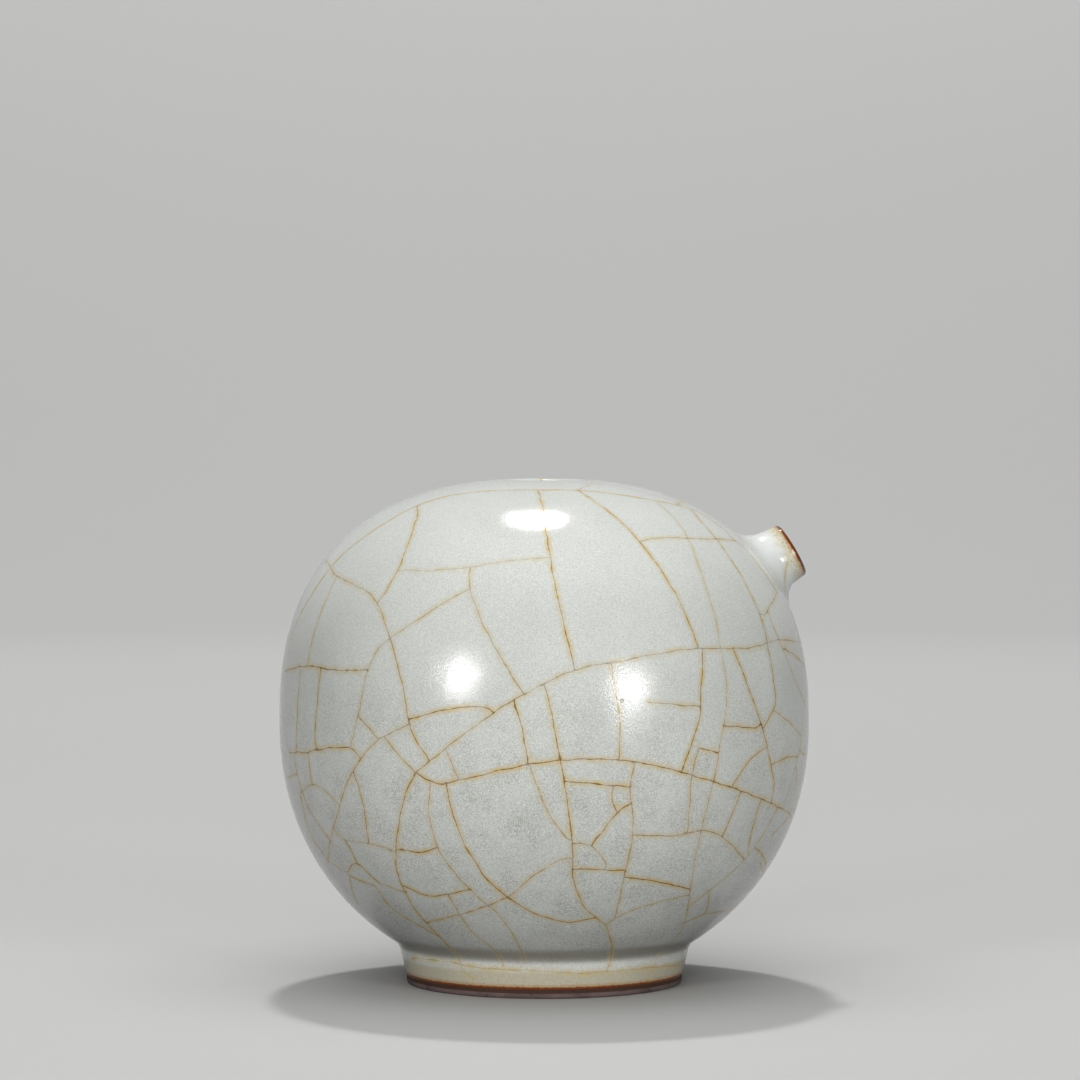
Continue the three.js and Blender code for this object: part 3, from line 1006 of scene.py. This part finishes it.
class Recipe:
    """The nodes of one finish or one shape."""

    def __init__(self, nodes_tree):
        self.nodes_tree = nodes_tree

    def node(self, kind, settings={}, sockets={}, output=0):
        made = self.nodes_tree.nodes.new(kind)
        for name, value in settings.items():
            setattr(made, name, value)
        for name, value in sockets.items():
            if isinstance(value, Wire):
                self.nodes_tree.links.new(value.socket, made.inputs[name])
            else:
                made.inputs[name].default_value = value
        return Wire(self, made.outputs[output])

    def place(self):
        """The place on the object, in millimetres."""
        here = self.node("ShaderNodeTexCoord", output="Object")
        return self.node("ShaderNodeVectorMath", {"operation": "SCALE"}, {0: here, "Scale": 1 / MM})

    def vectors(self, operation, *ends, output=0):
        return self.node("ShaderNodeVectorMath", {"operation": operation}, dict(enumerate(ends)), output)

    def dot(self, vector, other):
        return self.vectors("DOT_PRODUCT", vector, tuple(other), output="Value")

    def moved(self, vector, other):
        return self.vectors("SUBTRACT", vector, tuple(other))

    def cross(self, vector, other):
        return self.vectors("CROSS_PRODUCT", vector, tuple(other))

    def length(self, vector):
        return self.vectors("LENGTH", vector, output="Value")

    def cloud(self, place, size, detail=2.0, rough=0.5):
        """Soft noise from 0 to 1, with its size in millimetres, its finer layers and how strong they are."""
        return self.node("ShaderNodeTexNoise", {}, {"Vector": place, "Scale": 1 / size, "Detail": detail,
                                                    "Roughness": rough})

    def spots(self, place, size):
        """The distance to the nearest of scattered points, in spot spacings."""
        return self.node("ShaderNodeTexVoronoi", {}, {"Vector": place, "Scale": 1 / size}, "Distance")

    def blend(self, share, first, second):
        return self.node("ShaderNodeMix", {"data_type": "RGBA"}, {0: share, 6: first, 7: second}, 2)

    def attribute(self, name):
        return self.node("ShaderNodeAttribute", {"attribute_name": name}, {}, "Fac")

    def seen_ray(self):
        """1 where the camera looks, straight or in a mirror or through glass, and 0 for bounced light."""
        kinds = ("Is Camera Ray", "Is Glossy Ray", "Is Transmission Ray")
        camera, mirror, glass = [self.node("ShaderNodeLightPath", output=kind) for kind in kinds]
        return camera.math("MAXIMUM", camera, camera.math("MAXIMUM", mirror, glass))

    def bump(self, height, depth, under=None):
        """A normal roughened by a height, to a depth in millimetres, over another normal."""
        sockets = {"Height": height, "Distance": depth * MM, "Strength": 1.0}
        if under is not None:
            sockets["Normal"] = under
        return self.node("ShaderNodeBump", {}, sockets)


def new_finish(name):
    material = bpy.data.materials.new(name)
    material.use_nodes = True
    recipe = Recipe(material.node_tree)
    shader = material.node_tree.nodes["Principled BSDF"]
    return material, recipe, shader


def feed(recipe, shader, **wires):
    """Links wires to the shader's inputs of the same names."""
    for name, wire in wires.items():
        recipe.nodes_tree.links.new(wire.socket, shader.inputs[name.replace("_", " ")])


GLAZE_PALE = shade(212, 215, 211)
GLAZE_GREY = shade(184, 189, 187)
GLAZE_BUBBLE = shade(145, 144, 134)
GLAZE_FLECK = shade(230, 230, 222)
CRACK_HALO = shade(198, 177, 124)
CRACK_LINE = shade(100, 79, 40)
CRACK_DEEP = shade(112, 77, 34)
CRACK_TOP = shade(106, 70, 46)
FOOT_CREAM = shade(194, 185, 158)
# painted shade for the foot's cove, also the darker tone of glaze pooled thicker there
COVE_SHADE_AND_POOL = shade(128, 124, 112)
EDGE_GLOW = shade(178, 138, 94)
EDGE_BROWN = shade(110, 54, 18)
EDGE_DARK = shade(58, 32, 16)
SPOUT_WHITE = shade(226, 229, 226)
SPOUT_CREAM = shade(203, 196, 168)
SPOUT_PEPPER = shade(158, 140, 104)

UP = (0, 0, 1)
# Heights on the pot, in millimetres, from where a thing begins to show to where it shows in full
CLOUDED_LOW = (66, 38)
STAIN_LOW = (80, 48)
STAIN_CROWN = (76, 88)
STAIN_FOOT = ((4.6, 8), (10, 24))
FOOT_WARM = (5.6, 4.4)
FOOT_GLOW = (2.95, 2.3)
FOOT_EDGE = (2.35, 2.05)
FOOT_DARK = (1.9, 1.6)
# And heights from where it begins, over where it shows in full, to where it ends
STAIN_DEEP = (7, 15, 38, 64)
# painted sheen: a pale band on the foot below its cove
FOOT_SHEEN_BAND = (4.6, 5.4, 6.4, 7.4)
# the foot's cove: painted shade, also glaze pooled thicker there
COVE_SHADE_BAND = (6.2, 7.6, 8.6, 10.2)
CLAY_RIM = (1.0, 1.16, 2, 3)
# Distances along the spout's axis from its tip, and from that axis
SPOUT_PALE = (-7.5, -5)
SPOUT_WARM = (-3.6, -1.0)
LIP_GLOW = (-1.5, -0.8)
LIP_EDGE = (-0.85, -0.5)
SPOUT_NEAR = (9, 7)
HALO_REACH = (1.15, 0.0)
PINHOLE = (0.4, 0.15)
GLAZE_IOR = 1.53


def glaze_ground(recipe, place, height):
    """The glaze's body colour: clean and pale above, clouded and grained by fine grey bubbles below."""
    low = (height + 26 * (recipe.cloud(place, 14, 3) - 0.5)).between(*CLOUDED_LOW)
    clouds = recipe.cloud(place, 15, 3).between(0.35, 0.68)
    ground = recipe.blend(clouds * (0.22 + 0.1 * low), GLAZE_PALE, GLAZE_GREY)
    patches = recipe.cloud(place, 6, 4, 0.6).between(0.4, 0.62)
    grain = recipe.cloud(place, 0.2, 1.5, 0.7).between(0.36, 0.66)
    ground = recipe.blend(grain * (0.38 + low * (0.12 + 0.28 * patches)), ground, GLAZE_BUBBLE)
    threads = recipe.cloud(place, 3.5, 5, 0.62) - 0.5
    hair = recipe.node("ShaderNodeMath", {"operation": "ABSOLUTE"}, {0: threads}).between(0.014, 0.002)
    ground = recipe.blend(hair * low * patches * 0.5, ground, GLAZE_BUBBLE)
    flecks = recipe.cloud(place, 0.22, 1).between(0.52, 0.7)
    return recipe.blend(flecks * (0.48 + 0.14 * low), ground, GLAZE_FLECK)


def cracked(recipe, place, height, ground):
    """The stained crackle over a ground colour: a thin brown line, darker below, in a yellow halo."""
    waver = recipe.cloud(place, 0.7, 2) - 0.5
    distance = recipe.attribute("crack_distance") + 0.16 * waver
    strength = recipe.attribute("crack_strength")
    uneven = recipe.cloud(place, 2.2, 3, 0.6)
    deep = height.band(*STAIN_DEEP)
    halo = distance.between(*HALO_REACH) * (0.25 + 0.75 * uneven.between(0.3, 0.7) + 0.18 * deep) * strength
    ground = recipe.blend(halo * 0.93, ground, CRACK_HALO)
    width = (0.08 + 0.06 * recipe.cloud(place, 1.3, 2)) * (1.0 + 0.1 * deep)
    by_height = 0.72 + 0.28 * height.between(*STAIN_LOW) - 0.03 * deep
    stained = (0.62 + 0.38 * uneven.between(0.36, 0.6)) * by_height
    by_foot = 0.35 + 0.45 * height.between(*STAIN_FOOT[0]) + 0.2 * height.between(*STAIN_FOOT[1])
    line = (distance / width).between(1.35, 0.5) * stained * strength * by_foot
    stain = recipe.blend(height.between(*STAIN_CROWN), recipe.blend(deep, CRACK_LINE, CRACK_DEEP), CRACK_TOP)
    return recipe.blend(line, ground, stain)


def glaze_finish():
    """The glaze: cream above the foot's edge, a painted sheen below its cove, the cove darkened by painted
    shade and by pooled glaze, stained at its edges and lip.
    """
    material, recipe, shader = new_finish("crackle_glaze_finish")
    place = recipe.place()
    ragged = recipe.cloud(place, 0.5, 3, 0.65) - 0.5
    height = recipe.dot(place, UP)
    ground = glaze_ground(recipe, place, height)

    warm = (height + 1.4 * (recipe.cloud(place, 3, 3) - 0.5)).between(*FOOT_WARM)
    ground = recipe.blend(warm * 0.85, ground, FOOT_CREAM)
    # painted sheen: the foot lightened in a band below its cove
    ground = recipe.blend(height.band(*FOOT_SHEEN_BAND) * 0.25, ground, GLAZE_FLECK)
    # painted shade: the foot's cove darkened, partly as glaze pooled thicker there
    ground = recipe.blend(height.band(*COVE_SHADE_BAND) * 0.75, ground, COVE_SHADE_AND_POOL)
    coarse = recipe.cloud(place, 0.24, 2, 0.7).between(0.4, 0.66)
    ground = recipe.blend(warm * coarse * 0.4, ground, GLAZE_BUBBLE)

    from_tip = recipe.moved(place, SPOUT_TIP)
    along = recipe.dot(from_tip, SPOUT_AXIS)
    near = recipe.length(recipe.cross(from_tip, SPOUT_AXIS)).between(*SPOUT_NEAR)
    ground = recipe.blend(along.between(*SPOUT_PALE) * near * 0.7, ground, SPOUT_WHITE)
    blotches = recipe.cloud(place, 1.3, 3, 0.6) - 0.5
    cream = (along + 2.6 * blotches).between(*SPOUT_WARM) * near
    ground = recipe.blend(cream * 0.75, ground, SPOUT_CREAM)
    peppered = recipe.cloud(place, 0.32, 3, 0.65).between(0.44, 0.62)
    ground = recipe.blend(cream * peppered * 0.7, ground, SPOUT_PEPPER)

    ground = cracked(recipe, place, height, ground)
    pinhole = recipe.length(recipe.moved(place, seen_point(PINHOLE_PIXEL))).between(*PINHOLE)
    ground = recipe.blend(pinhole * 0.5, ground, EDGE_GLOW)

    foot_glow = (height + 0.9 * ragged).between(*FOOT_GLOW)
    lip_glow = (along + 0.7 * ragged).between(*LIP_GLOW) * near
    ground = recipe.blend(foot_glow * 0.75, recipe.blend(lip_glow * 0.6, ground, EDGE_GLOW), EDGE_GLOW)
    foot_edge = (height + 0.5 * ragged).between(*FOOT_EDGE)
    lip_edge = (along + 0.4 * ragged).between(*LIP_EDGE) * near
    ground = recipe.blend(foot_edge, recipe.blend(lip_edge, ground, EDGE_BROWN), EDGE_BROWN)
    ground = recipe.blend((height + 0.4 * ragged).between(*FOOT_DARK), ground, EDGE_DARK)

    rough = 0.08 + 0.07 * recipe.cloud(place, 0.9, 3, 0.6)
    normal = recipe.bump(recipe.cloud(place, 11, 1), 0.14)
    normal = recipe.bump(recipe.cloud(place, 0.28, 1.5, 0.5), 0.034, normal)
    normal = recipe.bump(1 - pinhole, 0.12, normal)
    feed(recipe, shader, Base_Color=ground, Roughness=rough, Normal=normal)
    shader.inputs["IOR"].default_value = GLAZE_IOR
    return material


CLAY_BROWN = shade(104, 87, 84)
CLAY_DARK = shade(62, 48, 46)
CLAY_PALE = shade(132, 115, 109)


def clay_finish():
    material, recipe, shader = new_finish("bare_clay_finish")
    place = recipe.place()
    clouds = recipe.cloud(place, 5, 4, 0.6).between(0.35, 0.65)
    grain = recipe.cloud(place, 0.35, 3, 0.7)
    colour = recipe.blend(clouds * 0.6, CLAY_BROWN, CLAY_DARK)
    colour = recipe.blend(grain.between(0.56, 0.72) * 0.6, colour, CLAY_PALE)
    colour = recipe.blend(recipe.spots(place, 1.7).between(0.2, 0.1) * 0.8, colour, CLAY_DARK)
    height = recipe.dot(place, UP) + 0.2 * grain
    colour = recipe.blend(height.band(*CLAY_RIM) * 0.9, colour, EDGE_DARK)
    normal = recipe.bump(recipe.cloud(place, 0.3, 4, 0.7), 0.09)
    feed(recipe, shader, Base_Color=colour, Roughness=0.72 + 0.2 * grain, Normal=normal)
    return material


LINING_PALE = shade(200, 203, 194)
LINING_GREY = shade(176, 180, 172)
LINING_CELL = 8  # millimetres between the lining's cracks


def lining_finish():
    material, recipe, shader = new_finish("lining_glaze_finish")
    place = recipe.place()
    clouds = recipe.cloud(place, 7, 4, 0.6).between(0.3, 0.7)
    colour = recipe.blend(clouds * 0.7, LINING_PALE, LINING_GREY)
    grain = recipe.cloud(place, 0.5, 2).between(0.52, 0.72)
    colour = recipe.blend(grain * 0.4, colour, GLAZE_BUBBLE)
    web = recipe.node("ShaderNodeTexVoronoi", {"feature": "DISTANCE_TO_EDGE"},
                      {"Vector": place, "Scale": 1 / LINING_CELL, "Randomness": 1.0}, "Distance")
    colour = recipe.blend(web.between(0.12, 0.02) * 0.6, colour, CRACK_HALO)
    colour = recipe.blend(web.between(0.026, 0.014) * 0.85, colour, CRACK_LINE)
    rough = 0.18 + 0.12 * recipe.cloud(place, 1, 3)
    normal = recipe.bump(recipe.cloud(place, 4, 3), 0.12)
    feed(recipe, shader, Base_Color=colour, Roughness=rough, Normal=normal)
    return material


# The foot ring and the spout's clay

RING_SIDES, TUBE_SIDES = 180, 72
SECTION_STEP = 0.4
MERGE_METRES = 1e-6
# Corners as radius and height, each with how far it is rounded
FOOT_RING = [
    ((22.0, 0), 0.45), ((26.05, 0), 0.45), ((26.05, 1.2), 0.15), ((25.2, 1.2), 0.1), ((25.4, 6.4), 0.2),
    ((22.0, 5.2), 0.2),
]
SPOUT_TUBE = [((3.2, -13), 0.2), ((4.5, -13), 0.2), ((4.5, -0.9), 0.4), ((3.2, -0.9), 0.4)]


def rounded_section(corners):
    """A closed line through corners that are each rounded off."""
    line = []
    count = len(corners)
    for i, (corner, cut) in enumerate(corners):
        corner = np.array(corner, float)
        before = np.array(corners[i - 1][0], float) - corner
        after = np.array(corners[(i + 1) % count][0], float) - corner
        start = corner + before / np.linalg.norm(before) * cut
        end = corner + after / np.linalg.norm(after) * cut
        for t in np.linspace(0, 1, 6):
            line.append((1 - t) ** 2 * start + 2 * t * (1 - t) * corner + t**2 * end)
    line.append(line[0])
    return even(np.array(line), SECTION_STEP)[:-1]


def ring_tree():
    """Turns a section, given as a closed line round the origin, about the pot's axis."""
    tree = bpy.data.node_groups.new("turned_ring", "GeometryNodeTree")
    for name, kind in (("Section", "NodeSocketGeometry"), ("Ring radius", "NodeSocketFloat"),
                       ("Sides round", "NodeSocketInt"), ("Finish", "NodeSocketMaterial")):
        tree.interface.new_socket(name, in_out="INPUT", socket_type=kind)
    tree.interface.new_socket("Ring", in_out="OUTPUT", socket_type="NodeSocketGeometry")
    recipe = Recipe(tree)
    given = tree.nodes.new("NodeGroupInput")
    section, radius, sides, finish = [Wire(recipe, given.outputs[i]) for i in range(4)]
    section = recipe.node("GeometryNodeMeshToCurve", {}, {"Mesh": section})
    path = recipe.node("GeometryNodeCurvePrimitiveCircle", {}, {"Resolution": sides, "Radius": radius})
    ring = recipe.node("GeometryNodeCurveToMesh", {}, {"Curve": path, "Profile Curve": section})
    ring = recipe.node("GeometryNodeSetShadeSmooth", {}, {"Geometry": ring})
    ring = recipe.node("GeometryNodeRealizeInstances", {}, {"Geometry": ring})
    ring = recipe.node("GeometryNodeSetMaterial", {}, {"Geometry": ring, "Material": finish})
    out = tree.nodes.new("NodeGroupOutput")
    tree.links.new(ring.socket, out.inputs[0])
    return tree


def make_turned(name, profile, sides, finish, tree):
    """A closed ring turned from a section of radii and heights."""
    middle = (profile[:, 0].min() + profile[:, 0].max()) / 2
    mesh = bpy.data.meshes.new("section")
    points = [(-(radius - middle) * MM, -height * MM, 0) for radius, height in profile]
    count = len(points)
    mesh.from_pydata(points, [(i, (i + 1) % count) for i in range(count)], [])
    section = add_piece("section", mesh)
    modifier = section.modifiers.new("turning", "NODES")
    modifier.node_group = tree
    sizes = {"Ring radius": middle * MM, "Sides round": sides, "Finish": finish}
    for item in tree.interface.items_tree:
        if item.name in sizes:
            modifier[item.identifier] = sizes[item.name]
    ready = section.evaluated_get(bpy.context.evaluated_depsgraph_get())
    turned = bpy.data.meshes.new_from_object(ready)
    bpy.data.objects.remove(section)
    turned.name = name
    work = bmesh.new()
    work.from_mesh(turned)
    bmesh.ops.remove_doubles(work, verts=work.verts, dist=MERGE_METRES)
    bmesh.ops.recalc_face_normals(work, faces=work.faces)
    work.to_mesh(turned)
    work.free()
    return add_piece(name, turned)


def make_spout_clay(finish, tree):
    """The luted tube under the spout's glaze, seen at the end of its bore."""
    tube = make_turned("spout_clay", rounded_section(SPOUT_TUBE), TUBE_SIDES, finish, tree)
    placing = Matrix(np.stack((SPOUT_EAST, SPOUT_NORTH, SPOUT_AXIS), 1).tolist()).to_4x4()
    placing.translation = Vector(SPOUT_TIP) * MM
    tube.data.transform(placing)
    return tube


# Light, floor and camera


LAMP_AIM = 55  # lamps look at this height on the pot's axis, in millimetres


def add_lamp(name, azimuth, elevation, distance, size, watts, height=LAMP_AIM, mirrored=True):
    """A soft round lamp, where the azimuth is taken from the camera's side, towards the right."""
    data = bpy.data.lights.new(name, "AREA")
    data.shape = "ELLIPSE"
    data.size, data.size_y = size
    data.energy = watts
    turn, rise = math.radians(azimuth), math.radians(elevation)
    aim = Vector((0, 0, height * MM))
    away = Vector((math.sin(turn) * math.cos(rise), -math.cos(turn) * math.cos(rise), math.sin(rise)))
    lamp = bpy.data.objects.new(name, data)
    lamp.location = aim + away * distance
    lamp.rotation_euler = away.to_track_quat("Z", "Y").to_euler()
    lamp.visible_glossy = mirrored
    bpy.context.scene.collection.objects.link(lamp)


# The paper's sizes, in metres
FLOOR_HALF = 3.0
SWEEP_START = 1.2
SWEEP_RADIUS = 0.9
SWEEP_STEPS = 24
WALL_TOP = 3.0
PALER_ABOVE = (0.0, 0.7)
PALER_BEHIND = (0.3, 1.3)
BEHIND_SHARE = 0.57
# What the camera and mirrors see of the paper, what lamp light bounces off, and the far wall's glow
FLOOR_PALE = shade(194, 194, 193)
WALL_PALE = shade(214, 214, 213)
FLOOR_BOUNCED = shade(62, 62, 62)
WALL_GLOW = shade(148, 148, 147)
BLACK = shade(0, 0, 0)


def make_floor():
    """A sheet that runs back along the floor and sweeps up into a wall."""
    line = [(-FLOOR_HALF, 0.0)]
    for step in range(SWEEP_STEPS + 1):
        angle = math.pi / 2 * step / SWEEP_STEPS
        line.append((SWEEP_START + SWEEP_RADIUS * math.sin(angle), SWEEP_RADIUS * (1 - math.cos(angle))))
    line.append((SWEEP_START + SWEEP_RADIUS, WALL_TOP))
    points = [(side * FLOOR_HALF, y, z) for y, z in line for side in (-1, 1)]
    faces = [(2 * i, 2 * i + 1, 2 * i + 3, 2 * i + 2) for i in range(len(line) - 1)]
    mesh = bpy.data.meshes.new("paper_sweep")
    mesh.from_pydata(points, [], faces)
    mesh.shade_smooth()
    material, recipe, shader = new_finish("pale_paper")
    place = recipe.place()
    raised = recipe.dot(place, (0, 0, MM)).between(*PALER_ABOVE)
    behind = recipe.dot(place, (0, MM, 0)).between(*PALER_BEHIND)
    paper = recipe.blend(raised, FLOOR_PALE, WALL_PALE)
    seen = recipe.seen_ray()
    further = BEHIND_SHARE * behind + (1 - BEHIND_SHARE) * raised
    glow = recipe.blend(seen * further, BLACK, WALL_GLOW)
    feed(recipe, shader, Base_Color=recipe.blend(seen, FLOOR_BOUNCED, paper), Emission_Color=glow)
    for name, value in (("Emission Strength", 1.0), ("Roughness", 0.9), ("Specular IOR Level", 0.1)):
        shader.inputs[name].default_value = value
    mesh.materials.append(material)
    floor = add_piece("floor", mesh)


ROOM_LIGHT = 0.03


def light_up():
    """Two boxes and a small lamp that the glaze mirrors, and wide fills that it doesn't."""
    add_lamp("left_box", -36, 12.2, 1.5, (0.36, 0.31), 6.4)
    add_lamp("right_box", 36.8, 7.6, 1.5, (0.37, 0.33), 6.8)
    add_lamp("top_box", 183.5, 64, 1.5, (0.11, 0.08), 9, 85)
    add_lamp("side_strip", 112, 3, 1.5, (0.05, 0.42), 0.2)
    add_lamp("front_fill", 0, 10, 1.5, (0.9, 0.9), 10.5, mirrored=False)
    add_lamp("overhead", 0, 90, 1.6, (2.4, 2.4), 21, mirrored=False)
    world = bpy.data.worlds.new("room")
    bpy.context.scene.world = world
    world.use_nodes = True
    room = world.node_tree.nodes["Background"]
    room.inputs["Color"].default_value = (1, 1, 1, 1)
    room.inputs["Strength"].default_value = ROOM_LIGHT


def dress(node, finish):
    """Gives one of the solids' own meshes a finish."""
    for slot in node.material_slots:
        slot.material = finish


make_camera()
make_floor()
light_up()

glaze = glaze_finish()
clay = clay_finish()
lining = lining_finish()

skin = make_glaze(glaze)
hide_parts("outer_glaze")
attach(skin, "root")

turning = ring_tree()
ring = make_turned("foot_ring_clay", rounded_section(FOOT_RING), RING_SIDES, clay, turning)
tube = make_spout_clay(clay, turning)
for piece, node in ((ring, "foot_ring"), (tube, "spout_tube")):
    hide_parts(node)
    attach(piece, "root")

for name in ("lower_bowl", "upper_dome"):
    dress(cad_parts[name], clay)
for name in ("inner_glaze", "base_glaze"):
    dress(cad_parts[name], lining)

bpy.context.scene.view_settings.view_transform = "Standard"
